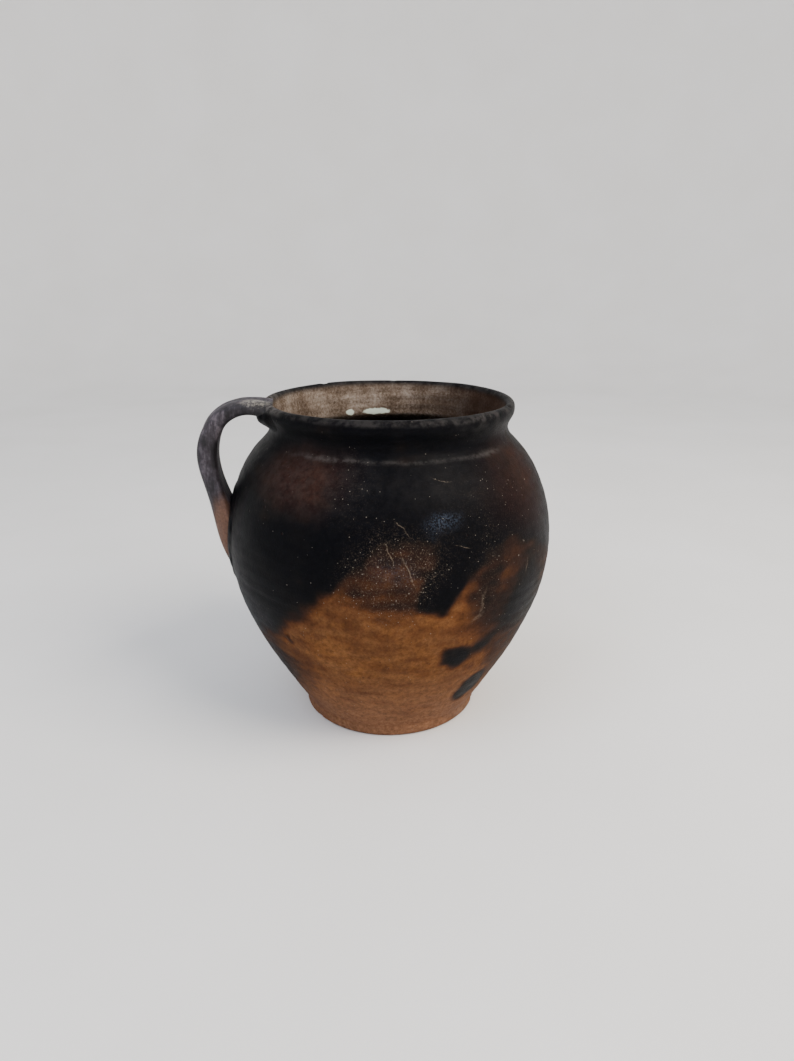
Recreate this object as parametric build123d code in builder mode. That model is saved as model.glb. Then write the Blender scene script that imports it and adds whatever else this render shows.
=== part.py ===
"""One-handled earthenware pot, built up from separately formed clay members.

A flat base disc carries three wall courses, a neck collar and a rim coil. Each
course is luted to the next along a bevelled lap joint, so neighbours meet on a
shared cone. A strap handle runs from the rim to the belly, and a wad of luting
clay seats it at each end.

Frame: +Z up, origin at the centre of the underside, handle on the -X side.
Sizes are in millimetres.
"""

import os

from build123d import *

# ---------------------------------------------------------------- pot body
# Points of the half section are (radius, height).
HEIGHT = 220.0                    # floor to the top of the lip
FOOT_RADIUS = 61.5
HEEL_HEIGHT = 6.5                 # short upright edge of the base disc
HEEL_STEP = 0.7                   # the wall starts this far inside that edge
FOOT_BEVEL = 1.5                  # worn bottom edge
FLOOR_THICKNESS = 9.0
FLOOR_RADIUS = 36.0               # flat part of the floor inside

BELLY_RADIUS = 110.0              # widest point
BELLY_HEIGHT = 122.0
WALL = 7.0

SHOULDER_CREASE = (82.3, 195.75)  # where the neck rises out of the shoulder
NECK_HOLLOW = (79.4, 202.0)       # narrowest point outside
THROAT = (73.0, 195.0)            # narrowest point inside

LIP_UNDERSIDE = (81.7, 209.0)
LIP_EDGE = (83.6, 214.8)          # outermost point of the lip
LIP_CROWN = (79.8, HEIGHT)
LIP_INNER = (76.2, 217.0)

# Points in between, which give each stretch its curve.
FLANK_OUTSIDE = [(75.2, 30.0), (91.8, 60.0)]
SHOULDER_OUTSIDE = [(107.5, 150.0), (91.3, 186.0)]
LIP_LOWER_CURVE = (83.1, 211.8)
LIP_UPPER_CURVE = (82.5, 218.4)
LIP_INNER_CURVE = (77.4, 219.2)
NECK_INSIDE = (73.6, 205.5)
SHOULDER_INSIDE = (95.0, 168.0)
FLANK_INSIDE = [(77.5, 45.0), (59.0, 17.0)]

# ---------------------------------------------------------------- lap joints
# A joint runs through its outside point and rises inwards.
LAP_SLOPE = 0.8                   # rise per mm of wall
BELOW_POT = (0.0, -60.0)
HEEL_JOINT = (FOOT_RADIUS, HEEL_HEIGHT)
WALL_START = (FOOT_RADIUS - HEEL_STEP, HEEL_HEIGHT + LAP_SLOPE * HEEL_STEP)
FLANK_JOINT = (89.8, 56.0)
BELLY_JOINT = (109.1, 110.0)
NECK_JOINT = SHOULDER_CREASE
LIP_JOINT = LIP_UNDERSIDE
ABOVE_POT = (BELLY_RADIUS, HEIGHT + 60.0)
CLEAR_RADIUS = 140.0              # beyond every surface of the pot

# Every member of the body, with the joint under it and the joint over it.
MEMBERS = [
    ("base_disc", BELOW_POT, HEEL_JOINT),
    ("lower_wall", HEEL_JOINT, FLANK_JOINT),
    ("belly_wall", FLANK_JOINT, BELLY_JOINT),
    ("shoulder_wall", BELLY_JOINT, NECK_JOINT),
    ("neck_collar", NECK_JOINT, LIP_JOINT),
    ("rim_coil", LIP_JOINT, ABOVE_POT),
]

# ---------------------------------------------------------------- handle
STRAP_WIDTH = 26.0
STRAP_ROUNDING = 4.0
# Side view of the strap as (x, z), from the rim round to the belly and back.
STRAP_OUTSIDE = [
    (-76.0, 219.4),
    (-84.0, 220.7),
    (-93.0, 220.9),
    (-114.5, 213.2),
    (-126.3, 190.0),
    (-120.5, 152.0),
    (-115.2, 124.0),
    (-105.0, 98.0),
]
STRAP_INSIDE = [
    (-97.0, 134.0),
    (-107.0, 156.0),
    (-111.3, 172.0),
    (-111.7, 190.0),
    (-103.2, 206.8),
    (-92.5, 210.8),
    (-77.0, 208.0),
]

# Luting wads: name, centre, and half lengths along X, Y and Z.
WADS = [
    ("handle_top_wad", (-78.5, 0.0, 209.5), (7.5, 26.0, 10.5)),
    ("handle_tail_wad", (-103.5, 0.0, 134.0), (9.5, 22.0, 32.0)),
]


def finish(part, label):
    """Name a finished piece and write it."""
    part.label = label
    export_step(part, f"parts/{label}.step")
    print(f"{label}: {part.volume / 1000:.1f} cm3")


def joint_height(joint, radius):
    """Height of a joint's cone at a given radius."""
    outside_radius, outside_height = joint
    return outside_height + LAP_SLOPE * (outside_radius - radius)


os.makedirs("parts", exist_ok=True)

# ---------------------------------------------------------------- body members
with BuildLine() as outside:
    Polyline((0, 0), (FOOT_RADIUS - FOOT_BEVEL, 0), (FOOT_RADIUS, FOOT_BEVEL))
    Polyline((FOOT_RADIUS, FOOT_BEVEL), HEEL_JOINT, WALL_START)
    Spline(
        WALL_START,
        *FLANK_OUTSIDE,
        (BELLY_RADIUS, BELLY_HEIGHT),
        *SHOULDER_OUTSIDE,
        SHOULDER_CREASE,
    )
    ThreePointArc(SHOULDER_CREASE, NECK_HOLLOW, LIP_UNDERSIDE)
    ThreePointArc(LIP_UNDERSIDE, LIP_LOWER_CURVE, LIP_EDGE)
    ThreePointArc(LIP_EDGE, LIP_UPPER_CURVE, LIP_CROWN)

with BuildLine() as inside:
    ThreePointArc(LIP_CROWN, LIP_INNER_CURVE, LIP_INNER)
    ThreePointArc(LIP_INNER, NECK_INSIDE, THROAT)
    Spline(
        THROAT,
        SHOULDER_INSIDE,
        (BELLY_RADIUS - WALL, BELLY_HEIGHT),
        *FLANK_INSIDE,
        (FLOOR_RADIUS, FLOOR_THICKNESS),
    )
    Polyline((FLOOR_RADIUS, FLOOR_THICKNESS), (0, FLOOR_THICKNESS), (0, 0))

with BuildSketch() as body_section:
    with BuildLine():
        add(outside.line)
        add(inside.line)
    make_face()

for label, lower_joint, upper_joint in MEMBERS:
    with BuildPart() as member:
        with BuildSketch(Plane.XZ):
            add(body_section.sketch)
            with BuildLine():
                Polyline(
                    (0, joint_height(lower_joint, 0)),
                    (CLEAR_RADIUS, joint_height(lower_joint, CLEAR_RADIUS)),
                    (CLEAR_RADIUS, joint_height(upper_joint, CLEAR_RADIUS)),
                    (0, joint_height(upper_joint, 0)),
                    close=True,
                )
            make_face(mode=Mode.INTERSECT)
        revolve(axis=Axis.Z)
    finish(member.part, label)

# The room that the body takes up, mouth and all: the handle stays out of it.
with BuildPart() as body_room:
    with BuildSketch(Plane.XZ):
        with BuildLine():
            add(outside.line)
            Polyline(LIP_CROWN, (0, HEIGHT), (0, 0))
        make_face()
    revolve(axis=Axis.Z)

# ---------------------------------------------------------------- handle
with BuildPart() as handle_strap:
    with BuildSketch(Plane.XZ):
        with BuildLine():
            Spline(*STRAP_OUTSIDE)
            Line(STRAP_OUTSIDE[-1], STRAP_INSIDE[0])
            Spline(*STRAP_INSIDE)
            Line(STRAP_INSIDE[-1], STRAP_OUTSIDE[0])
        make_face()
    extrude(amount=STRAP_WIDTH / 2, both=True)
    fillet(handle_strap.edges().filter_by(GeomType.BSPLINE), STRAP_ROUNDING)
    add(body_room.part, mode=Mode.SUBTRACT)
finish(handle_strap.part, "handle_strap")

for label, centre, half_lengths in WADS:
    with BuildPart() as wad:
        with Locations(centre):
            Sphere(1)
        scale(by=half_lengths, about=centre)
        add(body_room.part, mode=Mode.SUBTRACT)
        add(handle_strap.part, mode=Mode.SUBTRACT)
    finish(wad.part, label)
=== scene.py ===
# %% [markdown]
# # A smoke-blackened, one-handled pot
# The real pot is low-fired earthenware, built up by hand from a base disc and courses of
# clay, burnished, and fired in an open fire. Smoke blackened its upper half and the flames
# left the foot brown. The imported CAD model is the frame: it says where every clay member
# is, and this script gives each one a hand-built surface and a fired one.

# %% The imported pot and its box
import math

import bmesh
import bpy
import numpy as np
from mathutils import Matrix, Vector


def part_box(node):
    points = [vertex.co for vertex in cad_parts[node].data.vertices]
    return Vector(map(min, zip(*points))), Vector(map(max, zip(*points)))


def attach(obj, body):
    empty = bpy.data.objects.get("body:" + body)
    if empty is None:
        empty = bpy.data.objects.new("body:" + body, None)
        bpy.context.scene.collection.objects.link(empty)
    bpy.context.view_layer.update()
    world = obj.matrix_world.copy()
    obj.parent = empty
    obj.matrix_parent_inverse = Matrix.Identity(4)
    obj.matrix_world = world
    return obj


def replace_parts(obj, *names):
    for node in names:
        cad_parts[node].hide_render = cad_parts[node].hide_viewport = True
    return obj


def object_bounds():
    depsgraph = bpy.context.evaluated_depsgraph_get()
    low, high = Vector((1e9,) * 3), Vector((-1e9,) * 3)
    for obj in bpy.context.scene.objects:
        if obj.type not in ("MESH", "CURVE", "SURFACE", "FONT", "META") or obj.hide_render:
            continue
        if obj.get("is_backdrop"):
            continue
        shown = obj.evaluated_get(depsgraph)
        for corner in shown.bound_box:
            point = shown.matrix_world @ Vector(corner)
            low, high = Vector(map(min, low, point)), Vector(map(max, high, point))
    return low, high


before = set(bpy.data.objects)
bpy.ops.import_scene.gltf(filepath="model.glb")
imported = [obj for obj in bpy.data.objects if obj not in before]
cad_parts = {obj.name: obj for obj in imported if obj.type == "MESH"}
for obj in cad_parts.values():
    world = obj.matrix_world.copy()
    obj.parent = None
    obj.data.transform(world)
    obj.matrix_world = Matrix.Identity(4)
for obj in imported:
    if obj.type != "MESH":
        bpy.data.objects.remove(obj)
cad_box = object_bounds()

MM = 0.001
print("clay members:", sorted(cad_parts))

# %% [markdown]
# ## The half section
# A potter keeps the shape of a pot as a template: half of its outline, cut from card. The
# same few points that the CAD outline has are the template here, as (radius, height) in
# millimetres. A smooth curve through them could be a Blender curve object; a small cubic
# spline in numpy is used instead, because the mesh code needs the points themselves.


# %% A smooth curve through a few points
def smooth_curve(points, spacing=0.4):
    """Natural cubic spline through the points, sampled about every spacing mm."""
    points = np.array(points, float)
    chord = np.r_[0, np.cumsum(np.linalg.norm(np.diff(points, axis=0), axis=1))]
    step = np.diff(chord)[:, None]
    count = len(points)
    system = np.eye(count)
    right_side = np.zeros_like(points)
    for i in range(1, count - 1):
        before, after = step[i - 1, 0], step[i, 0]
        system[i, i - 1 : i + 2] = before, 2 * (before + after), after
        slope_after = (points[i + 1] - points[i]) / after
        right_side[i] = 6 * (slope_after - (points[i] - points[i - 1]) / before)
    bend = np.linalg.solve(system, right_side)
    t = np.linspace(0, chord[-1], max(2, round(chord[-1] / spacing) + 1))
    i = np.clip(np.searchsorted(chord, t, side="right") - 1, 0, count - 2)
    ahead = ((chord[i + 1] - t) / step[i, 0])[:, None]
    behind = 1 - ahead
    curve = ahead * points[i] + behind * points[i + 1]
    sag = (ahead**3 - ahead) * bend[i] + (behind**3 - behind) * bend[i + 1]
    return curve + sag * step[i] ** 2 / 6


# %% The template of the pot
HEIGHT = 220.0
UNDERSIDE = [(0, 0), (60.0, 0)]
HEEL = [(61.5, 1.5), (61.5, 6.5), (60.8, 7.06)]
FLANK = [(60.8, 7.06), (75.2, 30), (91.8, 60), (110, 122), (107.5, 150), (91.3, 186), (82.3, 195.75)]
NECK = [(82.3, 195.75), (79.4, 202), (81.7, 209)]
LIP = [(81.7, 209), (83.1, 211.8), (83.6, 214.8), (82.5, 218.4), (79.8, HEIGHT)]
LIP_INSIDE = [(79.8, HEIGHT), (77.4, 219.2), (76.2, 217)]
NECK_INSIDE = [(76.2, 217), (73.6, 205.5), (73.0, 195)]
BELLY_INSIDE = [(73.0, 195), (95, 168), (103, 122), (77.5, 45), (59, 17), (36, 9)]
FLOOR = [(36, 9), (0, 9)]


def template(stretches):
    """Join stretches end to end, without repeating the point where two meet."""
    curves = [smooth_curve(points) for points in stretches]
    return np.vstack([curves[0]] + [curve[1:] for curve in curves[1:]])


outer = template([UNDERSIDE, [UNDERSIDE[-1], HEEL[0]], HEEL[:2], HEEL[1:], FLANK, NECK, LIP])
inner = template([LIP_INSIDE, NECK_INSIDE, BELLY_INSIDE, FLOOR])
crown = len(outer) - 1                  # index of the top of the lip
section = np.vstack([outer, inner[1:]])
print("half section:", len(section), "points, lip crown at", section[crown])

# %% [markdown]
# Fired clay has no knife-sharp corners, because wet fingers go over all of them. So the
# template's corners are rounded by a short running average along it, about 2 mm long. A
# bevel modifier would also do that, but it can't round a crease and a heel by one rule.


# %% Corners rounded by wet fingers
def rounded(curve, reach=0.8, spacing=0.4):
    """Gaussian running average along an open curve; its two ends stay where they are."""
    width = int(4 * reach / spacing)
    weight = np.exp(-0.5 * (np.arange(-width, width + 1) * spacing / reach) ** 2)
    weight /= weight.sum()
    before = 2 * curve[0] - curve[width:0:-1]
    after = 2 * curve[-1] - curve[-2 : -width - 2 : -1]
    padded = np.vstack([before, curve, after])
    return np.column_stack([np.convolve(padded[:, k], weight, "valid") for k in range(2)])


section = rounded(section)
along = np.gradient(section, axis=0)
along /= np.linalg.norm(along, axis=1)[:, None]
outward = np.column_stack([along[:, 1], -along[:, 0]])   # points out of the clay
arc = np.r_[0, np.cumsum(np.linalg.norm(np.diff(section, axis=0), axis=1))]
inside = np.clip((arc - arc[crown] - 3.0) / 5.0, 0, 1)  # 0 outside, 1 inside the pot
inside = inside * inside * (3 - 2 * inside)

# %% [markdown]
# ## A surface made by hand
# Coils, a scraper and a burnishing pebble leave a wall that is never quite round: broad
# swellings, level ridges from the fingers, and small flats from the pebble. They could be
# a Displace modifier with textures. Sums of a few random waves are used here, because two
# neighbouring members must get exactly the same surface where they meet.


# %% Random swellings
def swelling(points, size, seed, stretch=(1, 1, 1)):
    """Smooth random values, mostly between -1 and 1, with features about size mm across."""
    random = np.random.default_rng(seed)
    direction = random.normal(size=(20, 3))
    direction /= np.linalg.norm(direction, axis=1)[:, None]
    wave = direction * random.uniform(0.6, 1.3, (20, 1)) * 2 * np.pi / size
    phase = random.uniform(0, 2 * np.pi, 20)
    return np.cos((points / np.array(stretch)) @ wave.T + phase).sum(1) / 6.3


def level_ridges(points, spacing, seed):
    """Ridges that fingers leave as the pot is turned: level, uneven, and a little tilted."""
    wander = 0.35 * spacing * swelling(points, 90, seed) + 0.02 * points[:, 0]
    return np.cos(2 * np.pi * (points[:, 2] + wander) / spacing) * (
        0.6 + 0.5 * swelling(points, 60, seed + 1)
    )


# %% [markdown]
# The marks that have a place of their own are a short list: a soft dip along the joint of
# the belly, nicks along the lip, and two gouges low on the left. A place is a bearing in
# degrees from the front of the pot, which is its -Y side, and a height in millimetres.

# %% Places on the pot
belly_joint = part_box("shoulder_wall")[0].z / MM
print(f"belly joint {belly_joint:.1f} mm above the floor")


def place(bearing, height, radius):
    """A point at a bearing in degrees from the front, positive towards +X."""
    turn = math.radians(bearing)
    return np.array([radius * math.sin(turn), -radius * math.cos(turn), height])


# Each nick or gouge: bearing, height, radius, half width, depth.
NICKS = [
    (38, 219.0, 82.5, 2.6, 0.9),
    (62, 219.6, 81.5, 1.9, 0.8),
    (-12, 218.8, 82.8, 1.6, 0.6),
    (-150, 219.5, 81.0, 3.2, 0.6),
    (118, 219.2, 82.0, 2.2, 0.8),
    (171, 219.4, 78.5, 2.4, 0.5),
    (-44, 86.5, 103.0, 2.2, 0.7),
    (-46, 82.0, 101.5, 1.8, 0.5),
    (70, 3.0, 61.5, 3.0, 0.9),
    (-60, 2.0, 61.5, 2.4, 0.8),
    (160, 2.5, 61.5, 3.4, 1.0),
]


def nicks(points):
    """How deep the nicks cut at each point, in mm."""
    depth = np.zeros(len(points))
    for bearing, height, radius, reach, deep in NICKS:
        away = np.linalg.norm(points - place(bearing, height, radius), axis=1) / reach
        depth += deep * np.clip(1.3 - away**2, 0, 1)
    return depth


# %% The hand-built offset of the surface
OUTSIDE_SETBACK = 0.45     # keeps every swelling inside the CAD model's size


def outside_offset(points):
    """How far the outside stands off the template, in mm, as seen from the clay."""
    offset = 0.28 * swelling(points, 110, 1) + 0.14 * swelling(points, 38, 2)
    offset += 0.07 * level_ridges(points, 8.5, 3)
    offset += 0.05 * swelling(points, 13, 5, stretch=(2.2, 2.2, 1))
    wander = belly_joint + 0.9 * swelling(points, 70, 7)
    dip = np.exp(-(((points[:, 2] - wander) / 1.3) ** 2))
    offset -= 0.16 * dip * np.clip(0.6 + 0.8 * swelling(points, 45, 8), 0, 1)
    return np.minimum(offset, OUTSIDE_SETBACK) - OUTSIDE_SETBACK - nicks(points)


def inside_offset(points):
    """The same for the inside, where finger ridges were never smoothed away."""
    offset = 0.5 * swelling(points, 95, 11) + 0.2 * swelling(points, 30, 12)
    return offset + 0.2 * level_ridges(points, 7.5, 13) - nicks(points)


# %% [markdown]
# ## Turning the members
# Every member is the band of the template between two joints, turned round the axis. The
# joints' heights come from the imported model: a joint rises inwards, so the member above
# it starts at its outside height, and the member below ends at its inside height. A Screw
# modifier would turn a profile too, but not offset each point as it goes.

# %% Grid of a turned surface
AROUND = 540               # about 1.3 mm at the belly


def turned_points(rows):
    """Points of some rows of the template, turned and offset, as (row, around, xyz)."""
    turn = np.linspace(0, 2 * np.pi, AROUND, endpoint=False)
    ray = np.column_stack([np.sin(turn), -np.cos(turn), np.zeros(AROUND)])
    up = np.array([0, 0, 1.0])
    spot = section[rows, None, :1] * ray + section[rows, None, 1:] * up
    push = outward[rows, None, :1] * ray + outward[rows, None, 1:] * up
    flat = spot.reshape(-1, 3)
    share = np.repeat(inside[rows], AROUND)
    offset = (1 - share) * outside_offset(flat) + share * inside_offset(flat)
    moved = spot + push * offset.reshape(len(rows), AROUND, 1)
    moved[..., 2] = np.where(section[rows, None, 1] < 0.3, spot[..., 2], moved[..., 2])
    return moved


def hollow_underside(grid):
    """The foot rests on a ring: its middle is about a millimetre hollow."""
    radius = np.hypot(grid[..., 0], grid[..., 1])
    rise = 1.1 * np.clip(1 - (radius / 52) ** 2, 0, 1) ** 0.7
    grid[..., 2] += np.where(grid[..., 2] < 0.3, rise, 0)
    return grid


# %% A mesh from a grid of rows
def solid_from_rows(name, grid, closed_loop):
    """Quads between rows that go round; a row of one radius-zero point becomes a pole."""
    rows, around = grid.shape[:2]
    vertices = grid.reshape(-1, 3) * MM
    a = np.arange(rows * around).reshape(rows, around)
    b = np.roll(a, -1, axis=1)
    upper = np.roll(a, -1, axis=0)
    upper_b = np.roll(b, -1, axis=0)
    quads = np.stack([a, b, upper_b, upper], axis=-1)
    if not closed_loop:
        quads = quads[:-1]
    mesh = bpy.data.meshes.new(name)
    mesh.from_pydata(vertices.tolist(), [], quads.reshape(-1, 4).tolist())
    mesh.validate()
    piece = bpy.data.objects.new(name, mesh)
    bpy.context.scene.collection.objects.link(piece)
    return piece


def finish_mesh(piece, values=None):
    """Merge doubled points, face everything outwards, shade smoothly, keep true corners."""
    mesh = piece.data
    if values is not None:
        mesh.attributes.new("inside", "FLOAT", "POINT").data.foreach_set("value", values)
    edit = bmesh.new()
    edit.from_mesh(mesh)
    bmesh.ops.remove_doubles(edit, verts=edit.verts, dist=1e-6)
    bmesh.ops.recalc_face_normals(edit, faces=edit.faces)
    edit.to_mesh(mesh)
    edit.free()
    mesh.shade_smooth()
    mesh.set_sharp_from_angle(angle=math.radians(38))
    return piece


# %% Rows of each member
MEMBERS = ["base_disc", "lower_wall", "belly_wall", "shoulder_wall", "neck_collar", "rim_coil"]
ROW_SPACING = {"rim_coil": 0.75, "neck_collar": 0.9}


def outside_row(height):
    """The template's row at a height on the outside."""
    return int(np.argmin(np.abs(section[: crown + 1, 1] - height) + (section[: crown + 1, 0] < 60)))


def inside_row(height):
    """The template's row at a height on the inside."""
    return crown + int(np.argmin(np.abs(section[crown:, 1] - height)))


def spread_rows(first, last, spacing):
    """Rows from first to last, both kept, about spacing mm apart."""
    count = max(2, round(abs(arc[last] - arc[first]) / spacing) + 1)
    return np.unique(np.linspace(first, last, count).round().astype(int))


def turned_member(name, below, above):
    """One clay member between the member below and the member above it."""
    spacing = ROW_SPACING.get(name, 1.2)
    foot = outside_row(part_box(name)[0].z / MM) if below else 0
    top = outside_row(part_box(above)[0].z / MM) if above else crown
    inner_top = inside_row(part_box(name)[1].z / MM) if above else crown
    inner_foot = inside_row(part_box(below)[1].z / MM) if below else len(section) - 1
    rows = np.r_[spread_rows(foot, top, spacing), spread_rows(inner_top, inner_foot, spacing)]
    rows = rows[np.r_[True, np.diff(rows) > 0]]
    grid = turned_points(rows)
    if not below:
        grid = hollow_underside(grid)
    piece = solid_from_rows(name + "_clay", grid, closed_loop=bool(below))
    finish_mesh(piece, np.repeat(inside[rows], AROUND))
    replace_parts(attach(piece, "root"), name)
    return piece


pieces = {}
for index, name in enumerate(MEMBERS):
    below = MEMBERS[index - 1] if index else None
    above = MEMBERS[index + 1] if index + 1 < len(MEMBERS) else None
    pieces[name] = turned_member(name, below, above)
    print(name, len(pieces[name].data.polygons), "faces")

# %% [markdown]
# ## The strap handle
# The strap was pulled or cut from a slab, bent over in the air, and pressed on at both
# ends. Seen from the side it has an outer and an inner edge, each a few points again; its
# cross-section is a slab with soft corners that grows wider where it was pressed down. A
# curve with a bevel profile can't change width and thickness apart, so the strap is
# skinned section by section.

# %% The strap's two side curves
STRAP_OUTSIDE = [
    (-76, 219.4),
    (-84, 220.7),
    (-93, 220.9),
    (-114.5, 213.2),
    (-126.3, 190),
    (-120.5, 152),
    (-115.2, 124),
    (-105, 98),
]
STRAP_INSIDE = [
    (-77, 208),
    (-92.5, 210.8),
    (-103.2, 206.8),
    (-111.7, 190),
    (-111.3, 172),
    (-107, 156),
    (-97, 134),
]
STATIONS = 250
STRAP_AROUND = 88


def even_stations(points, count):
    """count points spaced evenly along a smooth curve."""
    curve = smooth_curve(points, 0.25)
    length = np.r_[0, np.cumsum(np.linalg.norm(np.diff(curve, axis=0), axis=1))]
    wanted = np.linspace(0, length[-1], count)
    return np.column_stack([np.interp(wanted, length, curve[:, k]) for k in range(2)])


strap_top = even_stations(STRAP_OUTSIDE, STATIONS)
strap_under = even_stations(STRAP_INSIDE, STATIONS)
strap_middle = (strap_top + strap_under) / 2
print(f"strap {np.linalg.norm(strap_top - strap_under, axis=1)[60:180].mean():.1f} mm thick")

# %% Widths along the strap
# Places along the strap from the rim (0) to the tail (1), and how far its front and back
# edges are from its middle plane there, in mm. It was drawn out along the lip to the front.
STRAP_EDGES = [
    (0, 24, 14.5),
    (0.05, 20.5, 14),
    (0.1, 16.8, 13.6),
    (0.16, 14.2, 13.2),
    (0.25, 12.8, 12.8),
    (0.5, 12.3, 12.3),
    (0.7, 13, 13),
    (0.84, 12, 12),
    (0.92, 10, 10),
    (0.97, 7, 7),
    (1, 3.5, 3.5),
]
# Towards the tail its flanks splay out onto the belly: how much wider its inner face is.
STRAP_SPLAY = [(0.5, 0), (0.62, 0.2), (0.75, 0.65), (0.86, 1.05), (1, 1.2)]


def skinned_strap():
    """The strap as rows of rounded-slab sections from the rim to the belly."""
    share = np.linspace(0, 1, STATIONS)
    place_along, front, back = zip(*STRAP_EDGES)
    edges = np.stack([np.interp(share, place_along, side) for side in (front, back)])
    edges = np.stack([np.convolve(np.pad(side, 8, "edge"), np.ones(17) / 17, "valid") for side in edges])
    splay = np.interp(share, *zip(*STRAP_SPLAY))
    turn = np.linspace(0, 2 * np.pi, STRAP_AROUND, endpoint=False)
    across = np.sign(np.cos(turn)) * np.abs(np.cos(turn)) ** (2 / 3.4)
    through = np.sign(np.sin(turn)) * np.abs(np.sin(turn)) ** (2 / 2.7)
    half = (strap_top - strap_under)[:, None, :] / 2 * through[None, :, None]
    reach = np.where(across < 0, edges[0, :, None], edges[1, :, None])
    y = reach * across * (1 + splay[:, None] * (0.5 - 0.5 * through))
    slim = 1 - 0.7 * np.clip((np.abs(y) - 13) / 14, 0, 1) * (share < 0.3)[:, None]
    side = strap_middle[:, None, :] + half * slim[..., None]
    return np.stack([side[..., 0], y, side[..., 1]], axis=-1)


def strap_lumps(grid):
    """Squeeze marks: long shallow flats drawn along the strap and a few soft lumps."""
    centre = grid.mean(axis=1, keepdims=True)
    flat = grid.reshape(-1, 3)
    lumps = 0.35 * swelling(flat, 34, 21) + 0.16 * swelling(flat, 12, 22, stretch=(1, 1, 2.5))
    groove = -0.5 * np.exp(-((flat[:, 1] / 4.5) ** 2))
    lumps = (lumps + groove - 0.55).reshape(grid.shape[:2])[..., None]
    reach = grid - centre
    return grid + reach / np.linalg.norm(reach, axis=-1, keepdims=True) * lumps


strap_grid = strap_lumps(skinned_strap())
strap = solid_from_rows("handle_strap_clay", strap_grid, closed_loop=False)
for end in (0, STATIONS - 1):
    print("strap end at", np.round(strap_grid[end].mean(axis=0), 1))

# %% [markdown]
# An open tube isn't a solid, so both ends are closed inside the wall, where nobody sees
# them. Blender's edgeloop fill does that.

# %% Close and finish the strap
def close_ends(piece):
    """Fill the open ends of a tube."""
    edit = bmesh.new()
    edit.from_mesh(piece.data)
    ends = [edge for edge in edit.edges if edge.is_boundary]
    bmesh.ops.holes_fill(edit, edges=ends, sides=0)
    edit.to_mesh(piece.data)
    edit.free()


close_ends(strap)
finish_mesh(strap)
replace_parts(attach(strap, "root"), "handle_strap")
pieces["handle_strap"] = strap

# %% [markdown]
# ## The luting wads
# Soft clay was thumbed round both ends of the strap. A wad is thick beside the strap and
# feathers out to nothing on the wall, so it is modelled as a thickness laid over the
# turned surface: the same skin as the pot, pushed out by the wad's height there. Booleans
# of blobs would leave a hard edge instead of a smear.


# %% A thin pad laid on the pot
def skin_patch(name, turn, rows, height):
    """A closed pad: its outside is the pot's skin plus height(turn, rows), its back is buried."""
    ray = np.stack([np.sin(turn), -np.cos(turn), 0 * turn], axis=-1)[None]
    up = np.array([0, 0, 1.0])
    spot = section[rows, None, :1] * ray + section[rows, None, 1:] * up
    push = outward[rows, None, :1] * ray + outward[rows, None, 1:] * up
    flat = spot.reshape(-1, 3)
    share = np.repeat(inside[rows], len(turn))
    skin = (1 - share) * outside_offset(flat) + share * inside_offset(flat)
    skin = skin.reshape(len(rows), len(turn), 1)
    raised = spot + push * (skin + height(spot)[..., None])
    buried = spot + push * (skin - 1.6)
    across = len(turn)
    vertices = np.vstack([raised.reshape(-1, 3), buried.reshape(-1, 3)]) * MM
    a = np.arange(len(rows) * across).reshape(len(rows), across)
    quads = np.stack([a[:-1, :-1], a[:-1, 1:], a[1:, 1:], a[1:, :-1]], axis=-1).reshape(-1, 4)
    back = quads[:, ::-1] + a.size
    rim = np.r_[a[0], a[1:, -1], a[-1, -2::-1], a[-2:0:-1, 0]]
    rim_next = np.roll(rim, -1)
    wall = np.stack([rim, rim + a.size, rim_next + a.size, rim_next], axis=-1)
    mesh = bpy.data.meshes.new(name)
    mesh.from_pydata(vertices.tolist(), [], np.vstack([quads, back, wall]).tolist())
    pad = bpy.data.objects.new(name, mesh)
    bpy.context.scene.collection.objects.link(pad)
    values = np.tile(share, 2)
    return finish_mesh(pad, values)


# %% Heights of the two wads
HANDLE_TURN = -math.pi / 2         # the handle's bearing


def top_wad_height(spot):
    """Clay smeared along the lip, and a web of it from under the strap down to the neck."""
    y, z = spot[..., 1], spot[..., 2]
    flat = spot.reshape(-1, 3)
    rough = 0.25 * swelling(flat, 9, 31).reshape(y.shape)
    side = np.abs(y + 7) / 24
    smear = np.exp(-(side**4)) * np.exp(-(((z - 211.5) / 8.0) ** 4))
    web = np.interp(z, [198, 202, 205, 207.5, 209.5, 211, 216], [0, 0.6, 2.1, 3.8, 4.8, 4.6, 0])
    return (1.1 + rough) * smear + web * np.exp(-((np.abs(y + 5) / 20) ** 3)) - 0.5


def tail_wad_height(spot):
    """A thin smear where the strap's splayed flanks were thumbed onto the belly."""
    y, z = spot[..., 1], spot[..., 2]
    flat = spot.reshape(-1, 3)
    rough = swelling(flat, 10, 32).reshape(y.shape)
    strap_half = np.interp(z, [96, 115, 140, 162], [6.0, 15.0, 22.0, 16.0])
    beside = np.clip(np.abs(y) - strap_half, 0, None)
    thick = np.interp(z, [92, 104, 125, 145, 162, 168], [0, 1.5, 2.0, 1.9, 1.0, 0.0])
    smear = thick * np.exp(-((beside / (5.0 + 1.5 * rough)) ** 2))
    return smear + 0.12 * rough - 0.5


def wad(name, half_angle, low_row, high_row, height):
    """A wad round the handle's bearing, between two rows of the template."""
    turn = HANDLE_TURN + np.linspace(-half_angle, half_angle, round(2 * half_angle * 105 / 0.55))
    rows = spread_rows(low_row, high_row, 0.6)
    piece = skin_patch(name + "_clay", turn, rows, height)
    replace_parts(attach(piece, "root"), name)
    pieces[name] = piece
    print(name, len(piece.data.polygons), "faces")


wad("handle_top_wad", math.radians(24), outside_row(198), inside_row(216.5), top_wad_height)
wad("handle_tail_wad", math.radians(19), outside_row(92), outside_row(172), tail_wad_height)

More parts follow.
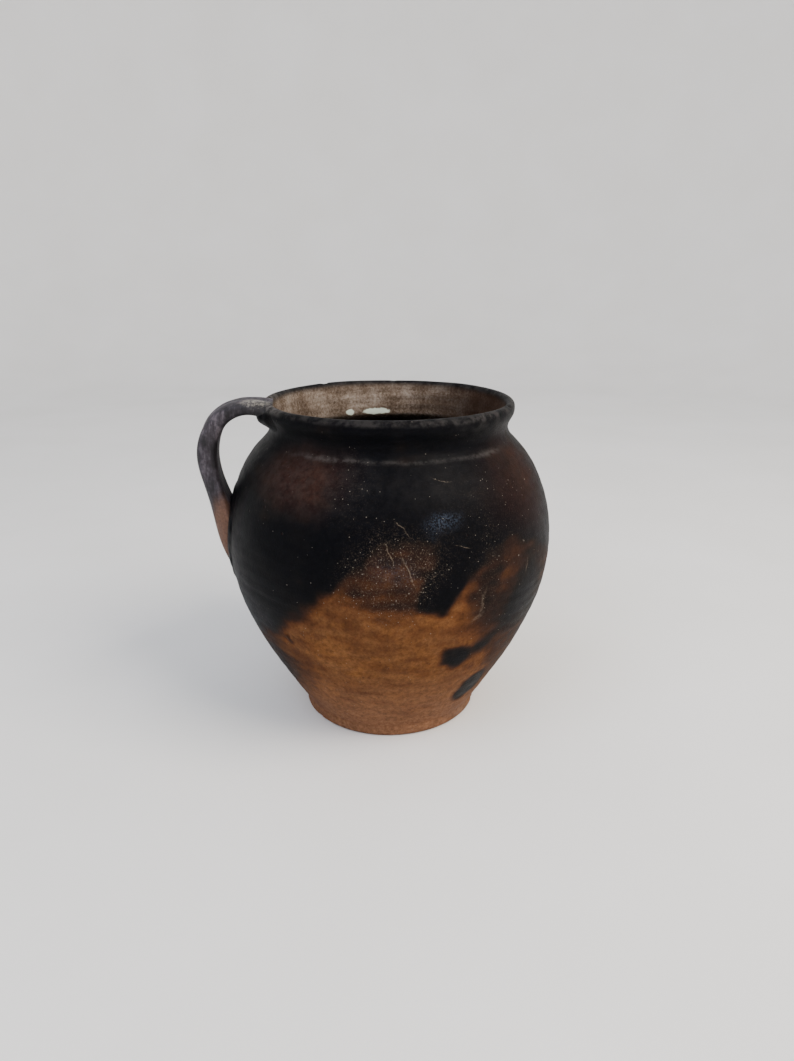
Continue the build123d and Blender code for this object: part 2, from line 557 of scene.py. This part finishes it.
# %% [markdown]
# ## Colours and nodes
# Finishes are written as sRGB hex codes, the way a colour is picked. Blender's
# shaders want linear values, so one function converts them. One more adds a node with its
# settings, its inputs and, where it has them, its colour stops or curve points.


# %% Colours and nodes
def colour(hex_code):
    """An sRGB hex colour as linear RGBA."""
    shares = [int(hex_code[k : k + 2], 16) / 255 for k in (1, 3, 5)]
    linear = [c / 12.92 if c <= 0.04045 else ((c + 0.055) / 1.055) ** 2.4 for c in shares]
    return (*linear, 1.0)


def add(tree, kind, inputs=(), out=0, stops=(), points=(), **settings):
    """Add one node and return one of its outputs; an input is a value or another output."""
    made = tree.nodes.new("ShaderNode" + kind)
    for name, value in settings.items():
        setattr(made, name, value)
    for key, value in inputs.items() if isinstance(inputs, dict) else enumerate(inputs):
        if isinstance(value, bpy.types.NodeSocket):
            tree.links.new(value, made.inputs[key])
        else:
            made.inputs[key].default_value = value
    for k, (position, shade) in enumerate(stops):
        ramp = made.color_ramp.elements
        stop = ramp[k] if k < 2 else ramp.new(position)
        stop.position, stop.color = position, colour(shade)
    for k, point in enumerate(points):
        curve = made.mapping.curves[0].points
        if k < 2:
            curve[k].location = point
        else:
            curve.new(*point)
    if points:
        made.mapping.update()
    return made.outputs[out]


def new_finish(name):
    """A new material with its node tree and its shader."""
    finish = bpy.data.materials.new(name)
    finish.use_nodes = True
    return finish, finish.node_tree, finish.node_tree.nodes["Principled BSDF"]


print("linear value of a fired brown:", [round(c, 3) for c in colour("#74492a")])

# %% [markdown]
# ## Finding places on the fired wall
# Everything on the wall has a place: the soot's edge, clouds, spots, dust. So the wall is
# unrolled: across is the bearing, counted in millimetres at the belly, and up is the
# height. The unrolled sheet is then warped a little, since no edge made by fire is smooth.
# The marks on it are painted onto the points of the mesh, as numbers that the material
# reads. An image would need a UV map; the points here are a millimetre apart already.

# %% The unrolled wall and its marks
BELLY = 105.0              # mm of wall for one radian of bearing


def points_of(piece):
    """A piece's points in mm."""
    flat = np.empty(3 * len(piece.data.vertices))
    piece.data.vertices.foreach_get("co", flat)
    return flat.reshape(-1, 3) / MM


def unrolled(points, wander=1.0):
    """Where points are on the unrolled wall, in mm, moved about a little."""
    across = np.arctan2(points[:, 0], -points[:, 1]) * BELLY
    height = points[:, 2].copy()
    for size, reach, seed in ((60, 3.5, 41), (22, 2.0, 43), (8, 0.9, 45)):
        across += wander * reach * swelling(points, size, seed)
        height += wander * reach * swelling(points, size, seed + 1)
    return across, height


def eased(value):
    """A smooth step from 0 to 1."""
    value = np.clip(value, 0, 1)
    return value * value * (3 - 2 * value)


def marked(places, marks):
    """Add up soft elliptical marks.

    A mark is its bearing and height, its half width and half height in mm at the belly,
    its tilt in degrees, its softness and its amount.
    """
    across, height = places
    total = np.zeros_like(across)
    for bearing, level, wide, high, tilt, soft, amount in marks:
        aside = across - math.radians(bearing) * BELLY
        aside = (aside + math.pi * BELLY) % (2 * math.pi * BELLY) - math.pi * BELLY
        above = height - level
        lean = math.radians(tilt)
        along_mark = (aside * math.cos(lean) + above * math.sin(lean)) / wide
        over_mark = (above * math.cos(lean) - aside * math.sin(lean)) / high
        away = np.hypot(along_mark, over_mark)
        total += amount * eased((1 + soft - away) / (2 * soft))
    return total


# %% [markdown]
# ## Where the smoke went
# In an open fire, soot settles wherever the pot is covered and short of air, and burns off
# again where flame and air reach it. Here the upper half kept its soot, with a tongue of
# it hanging down the front, and the foot burned clean to brown. The soot is one number, 0
# for clean brown and 1 for blue-black: a step at the height of the soot's edge, which
# changes with bearing, plus a list of marks. The sides and back are marked the same way.
# The same number also carries painted shade: the lower left flank, turned from the light,
# is darkened with it.

# %% The soot's edge and its marks
# Bearing in degrees, height in mm of the soot's lower edge.
SOOT_EDGE = [
    (-180, 112),
    (-150, 96),
    (-120, 88),
    (-95, 78),
    (-72, 76),
    (-60, 82),
    (-50, 92),
    (-40, 103),
    (-30, 115),
    (-23, 127),
    (-18, 142),
    (-12, 153),
    (-4, 157),
    (8, 157),
    (20, 153),
    (35, 150),
    (60, 138),
    (75, 124),
    (90, 106),
    (105, 92),
    (130, 104),
    (155, 114),
    (180, 112),
]
# Each mark: bearing, height, half width, half height, tilt, softness, amount.
SOOT_AND_SHADE_MARKS = [
    (-6, 143, 30, 32, 0, 0.3, 0.48),       # dusty patch under the soot's edge
    (-14, 132, 16, 14, 0, 0.6, -0.06),
    (7, 118.5, 11, 9, -15, 0.35, 0.7),     # tongue: its tip
    (9.5, 129, 14, 12, 0, 0.35, 0.65),
    (14.5, 140, 15, 14, 20, 0.35, 0.7),
    (20, 150, 18, 12, 0, 0.5, 0.6),        # its root
    (38, 126, 28, 34, 0, 0.5, 0.42),       # shade right of the tongue
    (27, 130, 11, 20, -15, 0.6, 0.22),
    (70, 118, 48, 46, 0, 0.5, 0.34),
    (21, 103, 9, 10, 20, 0.9, 0.2),        # dark block under it
    (34, 92, 26, 22, 0, 0.8, 0.18),
    (34, 90, 20, 4, 30, 0.8, 0.16),        # diagonal streak
    (18.5, 74, 8, 8.5, 0, 0.5, 0.85),      # upper spot
    (26, 81, 10, 5, 30, 0.8, 0.35),
    (34, 37, 14, 11, 8, 0.5, 0.95),         # lower spot
    (56, 74, 42, 40, 0, 0.6, 0.42),        # shaded right flank
    # painted shade: the lower left flank, turned from the light, is darkened as if it held more soot
    (-78, 60, 56, 40, 0, 0.7, 0.6),        # shaded left flank
    (-46, 178, 40, 18, 0, 0.8, -0.17),     # reddish haze on the left shoulder
    (-37, 186, 12, 7, 0, 0.8, -0.12),
    (64, 176, 44, 22, 0, 0.8, -0.26),      # thin soot on the right shoulder
    (48, 190, 26, 7, 0, 0.8, -0.14),
    (-2, 155, 14, 4, 0, 0.8, -0.12),
    (-44.6, 85.6, 4, 2.2, -40, 0.6, 0.4),  # gouges
    (-130, 52, 28, 16, 20, 0.6, 0.55),     # clouds on the far sides
    (-112, 30, 12, 8, 0, 0.6, 0.5),
    (-140, 150, 26, 18, -20, 0.7, -0.35),
    (-100, 172, 24, 14, 0, 0.8, -0.2),
    (112, 58, 20, 13, -15, 0.5, 0.8),
    (96, 84, 24, 14, 30, 0.7, -0.25),
    (150, 142, 30, 20, 15, 0.6, -0.45),
    (128, 176, 30, 12, 0, 0.8, -0.25),
    (160, 36, 22, 10, 0, 0.6, 0.5),
]


def soot_and_shade(points, places):
    """How much soot there is at each point, with painted shade on the lower left flank; the fine flicker comes
    with the material.
    """
    bearings, edges = zip(*SOOT_EDGE)
    edge = np.interp(np.degrees(places[0] / BELLY), bearings, edges)
    smoked = 0.08 + 0.92 * eased(0.5 + (places[1] - edge) / 20)
    cloud = 0.09 * swelling(points, 30, 51) + 0.05 * swelling(points, 12, 52)
    cloud += 0.07 * swelling(points, 6, 53, stretch=(4, 4, 1))
    return smoked + marked(places, SOOT_AND_SHADE_MARKS) + cloud


print(len(SOOT_AND_SHADE_MARKS), "soot marks,", len(SOOT_EDGE), "points on the soot's edge")

# %% [markdown]
# ## Dust, specks and shade
# An old pot carries a film of dust where hands don't rub it: in the crease under the neck,
# along the lip, on the shoulder. Grains of lime and quartz in the clay show as light dots,
# densest in the dusty patch, and a cluster of them on the right was rubbed blue-white.

# %% Marks of dust, specks, scuffs, redness and inside shade
SPECK_MARKS = [
    (-7, 134, 24, 26, 0, 0.5, 0.42),
    (-20, 180, 16, 16, 0, 0.7, 0.10),
    (6, 148, 14, 16, 0, 0.6, 0.16),
    (26, 128, 12, 30, 0, 0.6, 0.15),
    (30, 165, 34, 22, 0, 0.8, 0.08),
    (-25, 66, 40, 34, 0, 0.8, 0.05),
    (44, 110, 30, 40, 0, 0.8, 0.06),
]
SCUFF_MARKS = [(10, 164.5, 9, 4.5, 0, 0.9, 0.24), (-6, 139, 9, 6, 0, 0.9, 0.1)]
DUST_MARKS = [
    (8, 184, 60, 12, 0, 0.9, 0.02),
    (-45, 182, 40, 16, 0, 0.9, 0.05),
    (40, 195.5, 16, 1.6, 0, 0.9, 0.14),
    (4, 195.3, 80, 0.9, 0, 0.9, 0.12),
    (-32, 196, 24, 1.4, 0, 0.8, 0.14),
    (150, 185, 80, 12, 0, 0.9, 0.07),
    (-130, 188, 60, 9, 0, 0.9, 0.07),
    (46, 214, 40, 7, 0, 0.9, 0.07),
    (0, 218.5, 999, 2.2, 0, 0.6, 0.12),
    (52, 6, 34, 12, 0, 0.9, 0.2),
    (-84, 219.5, 36, 3.4, 0, 0.7, 0.5),
]
RED_MARKS = [(-42, 184, 30, 14, 0, 0.8, 0.3), (52, 176, 30, 22, 0, 0.9, 0.2)]
SHADE_MARKS = [(100, 206, 80, 40, 0, 0.8, 0.9), (-60, 212, 90, 20, 0, 0.9, 0.2)]


def paint(piece):
    """Write the marks onto a piece's points, for the material to read."""
    points = points_of(piece)
    places = unrolled(points)
    level_places = unrolled(points, wander=0.15)
    values = {
        "soot_and_shade": soot_and_shade(points, places),
        "specks": 0.02 + marked(places, SPECK_MARKS),
        "scuff": marked(places, SCUFF_MARKS),
        "dust": marked(level_places, DUST_MARKS),
        "red": marked(places, RED_MARKS),
        "shade": marked(places, SHADE_MARKS),
    }
    for name, value in values.items():
        piece.data.attributes.new(name, "FLOAT", "POINT").data.foreach_set("value", value)
    return values["soot_and_shade"]


for name, piece in pieces.items():
    if name != "handle_strap":
        print(name, "mean soot", round(float(paint(piece).mean()), 2))

# %% [markdown]
# ## Nodes that the finishes share
# Noise gives clouds and grain, and dots give grains and pits. A dot is a Voronoi cell
# whose random number is below the density there. Real grains go down to a tenth of a
# millimetre, too fine for any view, so they are drawn a little coarser.


# %% Noise, dots and painted numbers
def millimetres(tree):
    """Places on the object in mm."""
    return add(tree, "VectorMath", [add(tree, "TexCoord", out=3), (1 / MM,) * 3], operation="MULTIPLY")


def painted(tree, name):
    """A number painted on the points."""
    return add(tree, "Attribute", out=2, attribute_name=name)


def noise(tree, spot, size, detail=3.0, stretch=(1, 1, 1), rough=0.5):
    """Noise from about 0.3 to 0.7 with features about size mm, longer where stretched."""
    scaled = add(tree, "VectorMath", [spot, tuple(1 / s for s in stretch)], operation="MULTIPLY")
    inputs = {"Vector": scaled, "Scale": 1 / size, "Detail": detail, "Roughness": rough}
    return add(tree, "TexNoise", inputs)


def dots(tree, spot, size, radius, density, seed):
    """Dots of some radius in mm, in cells of some size, where the density lets them be."""
    moved = add(tree, "VectorMath", [spot, (seed * 7.3, seed * 3.1, seed * 5.7)])
    cells = {"Vector": moved, "Scale": 1 / size}
    near = radius / size
    lots = add(tree, "TexVoronoi", cells, out=1)
    shrink = add(tree, "SeparateColor", [lots], out=1)
    away = add(tree, "TexVoronoi", cells)
    away = add(tree, "Math", [shrink, 0.7 * near, away], operation="MULTIPLY_ADD")
    dot = add(tree, "MapRange", [away, near * 1.3, near * 0.8, 0.0, 1.0])
    lot = add(tree, "SeparateColor", [lots])
    chosen = add(tree, "Math", [lot, density], operation="LESS_THAN")
    return add(tree, "Math", [dot, chosen], operation="MULTIPLY")


def blob(tree, spot, centre, size, soft, amount, tilt=(0, 0, 0)):
    """A soft ellipsoid of influence in space, with half sizes in mm."""
    reach = add(tree, "Mapping", [spot, centre, tilt, size], vector_type="TEXTURE")
    away = add(tree, "VectorMath", [reach], out=1, operation="LENGTH")
    limits = [away, 1 + soft, max(0.0, 1 - soft), 0.0, amount]
    return add(tree, "MapRange", limits, interpolation_type="SMOOTHSTEP")


# %% [markdown]
# A scratch is finer than the mesh, so it belongs to the material: a long thin blob lying on
# the wall. It needs the wall's radius at its height, which the template knows.

# %% Scratches
# Each scratch: bearing, height, half length, half width, slope in degrees, strength.
SCRATCHES = [
    (-6.4, 149.5, 6.4, 0.3, -66, 0.5),
    (-0.7, 139, 10, 0.32, -66, 0.45),
    (-3.2, 165, 2.8, 0.3, -35, 0.4),
    (-1.2, 161.4, 3, 0.28, -55, 0.4),
    (16.6, 150.4, 3.8, 0.3, -20, 0.4),
    (13, 186, 5.5, 0.24, -8, 0.25),
    (24, 113, 8, 1.0, 82, 0.24),
    (23, 104, 4, 1.6, 30, 0.22),
    (44, 128, 5, 0.3, 80, 0.3),
    (-118, 130, 9, 0.36, -50, 0.4),
    (120, 120, 8, 0.36, 64, 0.4),
]


def scratches(tree, spot):
    """All scratches together, from 0 to their strength."""
    total = 0.0
    bent = add(tree, "TexNoise", {"Vector": spot, "Scale": 0.12}, out=1)
    bent = add(tree, "VectorMath", [bent, (0.5, 0.5, 0.5)], operation="SUBTRACT")
    spot = add(tree, "VectorMath", [bent, (5.0, 5.0, 5.0), spot], operation="MULTIPLY_ADD")
    for bearing, level, long, thin, slope, strength in SCRATCHES:
        centre = tuple(place(bearing, level, section[outside_row(level), 0]))
        lean = (0, -math.radians(slope), math.radians(bearing))
        mark = blob(tree, spot, centre, (long, 6.0, thin), 0.6, strength, lean)
        total = add(tree, "Math", [total, mark], operation="MAXIMUM")
    return total


# %% [markdown]
# ## The smoke-fired clay
# The main finish. Its colours run from clean fired brown through a red-brown halo to
# blue-black. Burnished black clay has a soft sheen, at a roughness of about 0.5; where the
# fire or wear took the burnish off it is nearer 0.7, and dust is duller still. The surface
# has a fine sandy grain, level strokes from the burnishing pebble, pits and the scratches.
# The inside was never burnished: it is beige-brown with level finger lines and a pair of
# lime flecks at the throat, and dark low down, from soot and painted shade in the unlit hollow.

# %% Fired colours
FIRED = [
    (0.00, "#644227"),
    (0.22, "#4c2e1a"),
    (0.40, "#341f13"),
    (0.56, "#231611"),
    (0.74, "#130e0c"),
    (0.88, "#08080a"),
    (1.00, "#040508"),
]


def inside_colour(tree, spot):
    """Beige-brown above the throat, dark below it from soot and painted shade, with two lime flecks."""
    lines = noise(tree, spot, 3.0, stretch=(12, 12, 1))
    grain = noise(tree, spot, 1.7, rough=0.8)
    tone = add(tree, "Math", [lines, 0.35, grain], operation="MULTIPLY_ADD")
    tone = add(tree, "Math", [noise(tree, spot, 14.0), 0.8, tone], operation="MULTIPLY_ADD")
    tone = add(tree, "MapRange", [tone, 0.72, 1.38, 0.0, 1.0])
    base = add(tree, "ValToRGB", [tone], stops=[(0.0, "#32261e"), (1.0, "#92867b"), (0.45, "#615347")])
    base = add(tree, "MixRGB", [painted(tree, "shade"), base, colour("#2d1e16")])
    # Soot and painted shade: below the throat the unlit hollow is painted near black.
    height = add(tree, "SeparateXYZ", [spot], out=2)
    deep = add(tree, "MapRange", [height, 199.0, 188.0, 0.0, 1.0], interpolation_type="SMOOTHSTEP")
    base = add(tree, "MixRGB", [deep, base, colour("#110905")])
    ragged = add(tree, "TexNoise", {"Vector": spot, "Scale": 0.4}, out=1)
    ragged = add(tree, "VectorMath", [ragged, (2.5, 2.5, 2.5), spot], operation="MULTIPLY_ADD")
    long_fleck = blob(tree, ragged, tuple(place(180, 198.4, 73)), (9.8, 6.0, 2.4), 0.12, 1.0)
    short_fleck = blob(tree, ragged, tuple(place(-164, 198.4, 73)), (3.0, 6.0, 2.2), 0.12, 1.0)
    flecks = add(tree, "Math", [long_fleck, short_fleck], operation="MAXIMUM")
    return add(tree, "MixRGB", [flecks, base, colour("#d3dccb")])


def outside_colour(tree, spot, smoke_and_shade, grains):
    """Fired colours by soot and painted shade, with flame clouds, a greyer foot, dust and worn marks on top."""
    base = add(tree, "ValToRGB", [smoke_and_shade], stops=[FIRED[0], FIRED[-1], *FIRED[1:-1]])
    clean = add(tree, "MapRange", [smoke_and_shade, 0.6, 0.1, 0.0, 1.0])
    ochre = add(tree, "MapRange", [noise(tree, spot, 20.0, rough=0.6), 0.46, 0.66, 0.0, 0.5])
    ochre = add(tree, "Math", [ochre, clean], operation="MULTIPLY")
    base = add(tree, "MixRGB", [ochre, base, colour("#6a4322")])
    height = add(tree, "SeparateXYZ", [spot], out=2)
    foot = add(tree, "MapRange", [height, 62.0, 6.0, 0.0, 0.75])
    foot = add(tree, "Math", [foot, clean], operation="MULTIPLY")
    base = add(tree, "MixRGB", [foot, base, colour("#755440")])
    base = add(tree, "MixRGB", [painted(tree, "red"), base, colour("#43251b")])
    mottle = add(tree, "MapRange", [noise(tree, spot, 3.0, detail=4.0, rough=0.75), 0.3, 0.7, 0.55, 1.45])
    base = add(tree, "MixRGB", [1.0, base, mottle], blend_type="MULTIPLY")
    patchy = add(tree, "MapRange", [noise(tree, spot, 7.0, rough=0.75), 0.4, 0.6, 0.15, 1.5])
    dust = add(tree, "Math", [painted(tree, "dust"), patchy], operation="MULTIPLY")
    base = add(tree, "MixRGB", [dust, base, colour("#5f5b58")])
    sand = add(tree, "MapRange", [noise(tree, spot, 0.9, rough=0.85), 0.54, 0.66, 0.0, 0.7])
    sand = add(tree, "Math", [sand, painted(tree, "specks")], operation="MULTIPLY")
    base = add(tree, "MixRGB", [sand, base, colour("#7c6c5c")])
    light = add(tree, "Math", [grains, 0.5], operation="MULTIPLY")
    base = add(tree, "MixRGB", [light, base, colour("#92897d")])
    broken = add(tree, "MapRange", [noise(tree, spot, 1.1, rough=0.85), 0.46, 0.58, 0.0, 1.2])
    scuff = add(tree, "Math", [painted(tree, "scuff"), broken], operation="MULTIPLY")
    base = add(tree, "MixRGB", [scuff, base, colour("#525e72")])
    worn = add(tree, "MapRange", [noise(tree, spot, 1.2, rough=0.7), 0.4, 0.56, 0.1, 1.0])
    scratch = add(tree, "Math", [scratches(tree, spot), worn], operation="MULTIPLY")
    return add(tree, "MixRGB", [scratch, base, colour("#837463")])


def smoked_clay():
    """Low-fired earthenware: brown where it burned clean, blue-black where it was smoked."""
    finish, tree, shader = new_finish("smoke_fired_earthenware")
    spot = millimetres(tree)
    # The soot number, which also holds painted shade on the lower left flank.
    smoke_and_shade = painted(tree, "soot_and_shade")
    for size, reach in ((6.0, 0.22), (1.8, 0.14)):
        flicker = add(tree, "Math", [noise(tree, spot, size), 0.5], operation="SUBTRACT")
        smoke_and_shade = add(tree, "Math", [flicker, reach, smoke_and_shade], operation="MULTIPLY_ADD", use_clamp=True)
    density = painted(tree, "specks")
    fine = dots(tree, spot, 1.4, 0.3, density, 1)
    rare = add(tree, "Math", [density, 0.35], operation="MULTIPLY")
    grains = add(tree, "Math", [fine, dots(tree, spot, 4.4, 0.6, rare, 2)], operation="MAXIMUM")
    pits = dots(tree, spot, 5.0, 0.8, 0.1, 3)
    within = painted(tree, "inside")
    base = outside_colour(tree, spot, smoke_and_shade, grains)
    pitted = add(tree, "Math", [pits, 0.5], operation="MULTIPLY")
    base = add(tree, "MixRGB", [pitted, base, colour("#24130d")])
    base = add(tree, "MixRGB", [within, base, inside_colour(tree, spot)])
    tree.links.new(base, shader.inputs["Base Color"])

    rough = add(tree, "MapRange", [smoke_and_shade, 0.2, 1.0, 0.56, 0.36])
    rough = add(tree, "Math", [noise(tree, spot, 5.0), 0.2, rough], operation="MULTIPLY_ADD")
    dull = add(tree, "Math", [painted(tree, "dust"), grains], operation="MAXIMUM")
    dull = add(tree, "Math", [dull, within], operation="MAXIMUM")
    rough = add(tree, "MapRange", [dull, 0.0, 1.0, rough, 0.95])
    tree.links.new(rough, shader.inputs["Roughness"])
    shader.inputs["Specular IOR Level"].default_value = 0.04   # soot is a porous film

    # Heights in mm. The grain is drawn at 1.3 mm, because the real 0.3 mm can't be seen.
    grain = add(tree, "Math", [noise(tree, spot, 1.3, rough=0.6), 0.16], operation="MULTIPLY")
    strokes = noise(tree, spot, 1.7, stretch=(13, 13, 1))
    relief = add(tree, "Math", [strokes, 0.10, grain], operation="MULTIPLY_ADD")
    relief = add(tree, "Math", [pits, -0.3, relief], operation="MULTIPLY_ADD")
    relief = add(tree, "Math", [fine, 0.08, relief], operation="MULTIPLY_ADD")
    bump = add(tree, "Bump", {"Strength": 1.0, "Distance": MM, "Height": relief})
    tree.links.new(bump, shader.inputs["Normal"])
    return finish


smoked = smoked_clay()
print("smoke-fired earthenware:", len(smoked.node_tree.nodes), "nodes")

# %% [markdown]
# ## The greyed handle
# The strap stood out in the smoke and was handled ever since: a purple-grey skin with
# drawn-out streaks along it, a little paler on top with painted light from above, a cream
# scuff where it joins the lip, and a brown patch on its flank low down, where flame licked round it.


# %% Greyed clay of the handle
def greyed_clay():
    """The strap's skin: smoked purple-grey, with painted light on top, brown low on its flanks."""
    finish, tree, shader = new_finish("greyed_strap_clay")
    spot = millimetres(tree)
    streaks = noise(tree, spot, 3.2, stretch=(1, 1, 5), rough=0.65)
    mottle = noise(tree, spot, 9.0, rough=0.6)
    tone = add(tree, "Math", [streaks, mottle], operation="ADD")
    tone = add(tree, "MapRange", [tone, 0.78, 1.24, 0.0, 1.0])
    base = add(
        tree,
        "ValToRGB",
        [tone],
        stops=[(0.0, "#161417"), (1.0, "#524c52"), (0.35, "#282429"), (0.7, "#3a353b")],
    )
    ragged = add(tree, "TexNoise", {"Vector": spot, "Scale": 0.16, "Detail": 4.0}, out=1)
    ragged = add(tree, "VectorMath", [ragged, (9.0, 9.0, 9.0), spot], operation="MULTIPLY_ADD")
    ragged = add(tree, "VectorMath", [ragged, (4.5, 4.5, 4.5)], operation="SUBTRACT")
    # Painted light: the top of the strap is made a little paler, as lit from above.
    top = blob(tree, ragged, (-100, 0, 221), (20, 24, 6), 0.7, 0.06)
    base = add(tree, "MixRGB", [top, base, colour("#57575b")])
    flank = blob(tree, ragged, (-112, -18, 132), (9, 14, 26), 0.35, 0.85)
    far_flank = blob(tree, ragged, (-112, 20, 126), (9, 13, 20), 0.5, 0.6)
    brown = add(tree, "Math", [flank, far_flank], operation="MAXIMUM")
    base = add(tree, "MixRGB", [brown, base, colour("#624433")])
    height = add(tree, "SeparateXYZ", [spot], out=2)
    tip = add(tree, "MapRange", [height, 124.0, 104.0, 0.0, 0.85], interpolation_type="SMOOTHSTEP")
    base = add(tree, "MixRGB", [tip, base, colour("#130f0c")])
    root = blob(tree, ragged, (-80, -8, 205.5), (24, 34, 9), 0.5, 1.0)
    base = add(tree, "MixRGB", [root, base, colour("#060608")])
    meeting = blob(tree, ragged, (-76, -20, 218), (16, 12, 14), 0.6, 0.9)
    base = add(tree, "MixRGB", [meeting, base, colour("#1c1a1a")])
    scuff = blob(tree, ragged, (-86, -10, 221), (8, 6, 4), 0.6, 0.8)
    broken = add(tree, "MapRange", [noise(tree, spot, 3.0, rough=0.7), 0.45, 0.58, 0.1, 1.0])
    scuff = add(tree, "Math", [scuff, broken], operation="MULTIPLY")
    base = add(tree, "MixRGB", [scuff, base, colour("#a29c91")])
    mottle_fine = add(tree, "MapRange", [noise(tree, spot, 1.6, rough=0.7), 0.3, 0.7, 0.68, 1.32])
    base = add(tree, "MixRGB", [1.0, base, mottle_fine], blend_type="MULTIPLY")
    specks = dots(tree, spot, 3.2, 0.55, 0.12, 5)
    base = add(tree, "MixRGB", [add(tree, "Math", [specks, 0.6], operation="MULTIPLY"), base, colour("#938e88")])
    tree.links.new(base, shader.inputs["Base Color"])
    rough = add(tree, "MapRange", [mottle, 0.35, 0.65, 0.55, 0.75])
    tree.links.new(rough, shader.inputs["Roughness"])
    shader.inputs["Specular IOR Level"].default_value = 0.3
    grain = add(tree, "Math", [noise(tree, spot, 1.4, rough=0.65), 0.2], operation="MULTIPLY")
    relief = add(tree, "Math", [streaks, 0.25, grain], operation="MULTIPLY_ADD")
    bump = add(tree, "Bump", {"Strength": 1.0, "Distance": MM, "Height": relief})
    tree.links.new(bump, shader.inputs["Normal"])
    return finish


greyed = greyed_clay()
print("greyed clay:", len(greyed.node_tree.nodes), "nodes")

# %% [markdown]
# ## Finishes on the pieces
# The pot's wall and both wads share the smoke-fired finish, so that it runs on across
# their joints.

# %% Put each finish on its pieces
for name, piece in pieces.items():
    piece.data.materials.append(greyed if name == "handle_strap" else smoked)
    print(name, "->", piece.data.materials[0].name)

# %% [markdown]
# ## The studio
# A plain pale bowl of paper is all the pot needs: a flat floor that curves up into a wall
# on every side, so that each view has the same quiet backdrop. It is turned from a half
# section like the pot.


# %% Floor and wall in one sheet
def studio_bowl(flat=1.5, bend=0.6, top=2.4, around=160):
    """A pale floor that curves up into a wall."""
    turn = np.linspace(0, np.pi / 2, 24)
    radii = np.r_[np.linspace(0.02, flat, 20), flat + bend * np.sin(turn[1:]), flat + bend]
    heights = np.r_[np.zeros(20), bend * (1 - np.cos(turn[1:])), top]
    angle = np.linspace(0, 2 * np.pi, around, endpoint=False)
    grid = np.stack(np.broadcast_arrays(
        radii[:, None] * np.sin(angle),
        -radii[:, None] * np.cos(angle),
        heights[:, None],
    ), axis=-1)
    sheet = solid_from_rows("studio_sheet", grid / MM, closed_loop=False)
    close_ends_of_floor(sheet)
    return sheet


def close_ends_of_floor(sheet):
    """Fill the small hole in the middle of the floor, and smooth the bend."""
    edit = bmesh.new()
    edit.from_mesh(sheet.data)
    hole = [e for e in edit.edges if e.is_boundary and max(v.co.z for v in e.verts) < 0.01]
    bmesh.ops.holes_fill(edit, edges=hole, sides=0)
    bmesh.ops.recalc_face_normals(edit, faces=edit.faces)
    edit.to_mesh(sheet.data)
    edit.free()
    sheet.data.shade_smooth()


def paper():
    """Matt background paper, barely mottled."""
    finish, tree, shader = new_finish("pale_paper")
    spot = millimetres(tree)
    cloud = add(tree, "MapRange", [noise(tree, spot, 160.0), 0.3, 0.7, 0.0, 1.0])
    base = add(tree, "MixRGB", [cloud, colour("#efeeec"), colour("#f4f3f2")])
    tree.links.new(base, shader.inputs["Base Color"])
    fibre = add(tree, "Math", [noise(tree, spot, 1.5), 0.05], operation="MULTIPLY")
    bump = add(tree, "Bump", {"Strength": 1.0, "Distance": MM, "Height": fibre})
    tree.links.new(bump, shader.inputs["Normal"])
    rough = add(tree, "MapRange", [cloud, 0.0, 1.0, 0.85, 0.95])
    tree.links.new(rough, shader.inputs["Roughness"])
    return finish


sheet = studio_bowl()
sheet.data.materials.append(paper())
sheet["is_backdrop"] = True
print("studio sheet:", len(sheet.data.polygons), "faces")

# %% [markdown]
# The light is soft and comes from the upper right and front, as from a large window, with
# a weaker cool light from the left that shows the lip and neck, and a pale sky all round.


# %% Lights
def soft_light(name, bearing, distance, height, size, power, shade):
    """A square lamp at a bearing from the pot's front, aimed at the pot."""
    lamp = bpy.data.lights.new(name, "AREA")
    lamp.size, lamp.energy, lamp.color = size, power, colour(shade)[:3]
    light = bpy.data.objects.new(name, lamp)
    bpy.context.scene.collection.objects.link(light)
    light.location = place(bearing, height, distance) * MM
    aim = Vector((0, 0, 0.11)) - light.location
    light.rotation_euler = aim.to_track_quat("-Z", "Y").to_euler()
    return light


soft_light("window", 50, 1100, 1250, 0.9, 30, "#fff6ea")
soft_light("sky_left", -45, 1000, 1300, 0.8, 9, "#dfe9ff")
world = bpy.data.worlds.new("pale_room")
world.use_nodes = True
world.node_tree.nodes["Background"].inputs["Color"].default_value = colour("#e8ecf2")
world.node_tree.nodes["Background"].inputs["Strength"].default_value = 0.9
bpy.context.scene.world = world

# %% [markdown]
# ## The camera
# The pot is seen from a little above, by someone standing close: about half a metre from
# its axis and 31 cm above the floor, with the handle turned 7 degrees towards them.

# %% Camera
CAMERA_TURN = math.radians(7)
camera = bpy.data.objects.new("camera", bpy.data.cameras.new("camera"))
bpy.context.scene.collection.objects.link(camera)
aside, away, high = 5.33, 521.5, 306.0
camera.location = Vector((
    aside * math.cos(CAMERA_TURN) - away * math.sin(CAMERA_TURN),
    -aside * math.sin(CAMERA_TURN) - away * math.cos(CAMERA_TURN),
    high,
)) * MM
camera.rotation_euler = (math.radians(90 - 18.99), 0, -CAMERA_TURN)
camera.data.sensor_fit = "VERTICAL"
camera.data.sensor_height = 36
camera.data.lens = 26.8
bpy.context.scene.camera = camera

# %% [markdown]
# The finished pot has to stay inside the size of its CAD model.

# %% The two boxes
boxes = {"cad": cad_box, "visual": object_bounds()}
boxes = {name: [list(corner) for corner in box] for name, box in boxes.items()}
print(boxes)
